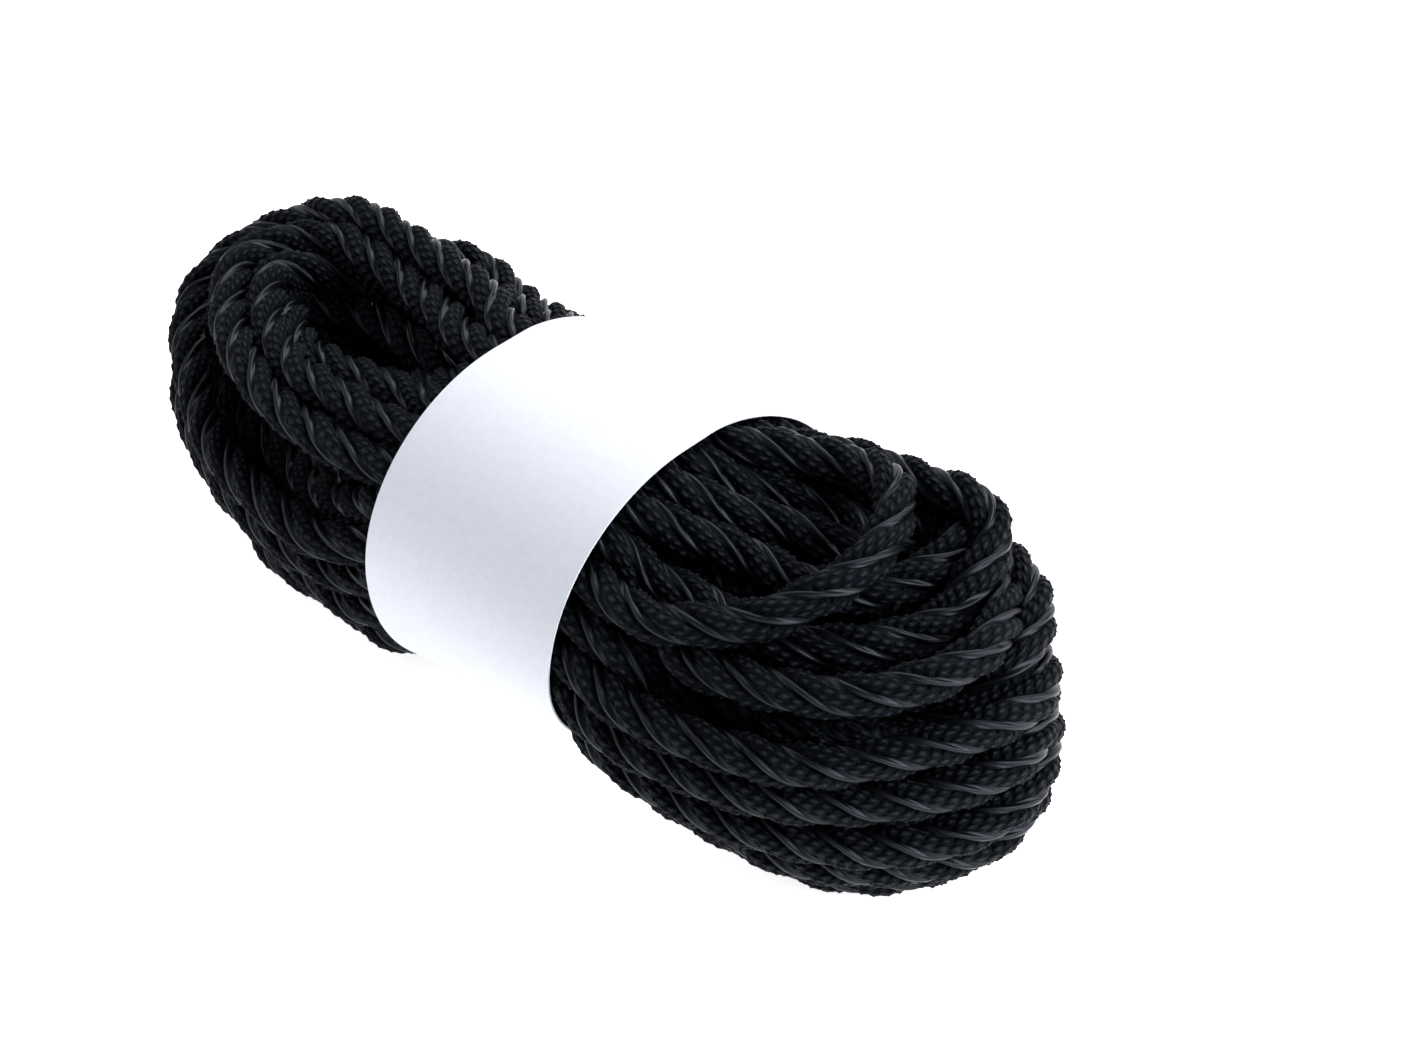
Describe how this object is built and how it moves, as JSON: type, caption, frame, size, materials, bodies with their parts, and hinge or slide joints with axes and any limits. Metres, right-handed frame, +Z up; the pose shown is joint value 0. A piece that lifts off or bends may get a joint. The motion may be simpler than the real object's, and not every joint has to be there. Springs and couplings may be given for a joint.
{
  "type": "hank of decorative cord with a paper band",
  "caption": "Thick twisted decorative cord wound into a long flat hank with an eye at each end, drawn in at the waist by a plain paper band.",
  "frame": {"origin": "on the floor under the middle of the hank", "axes": "+X along the hank, out of the end that the band lies nearer to; +Z up through the eyes; +Y across"},
  "size_m": [0.2208, 0.0808, 0.0752],
  "materials": {
    "cord": "deep black knotty cotton and viscose plies with smooth satin strands laid in the grooves",
    "paper": "uncoated white paper, faintly cool, bare of print"
  },
  "bodies": {
    "root": {"hank": "cord", "paper_band": "paper"}
  },
  "joints": []
}
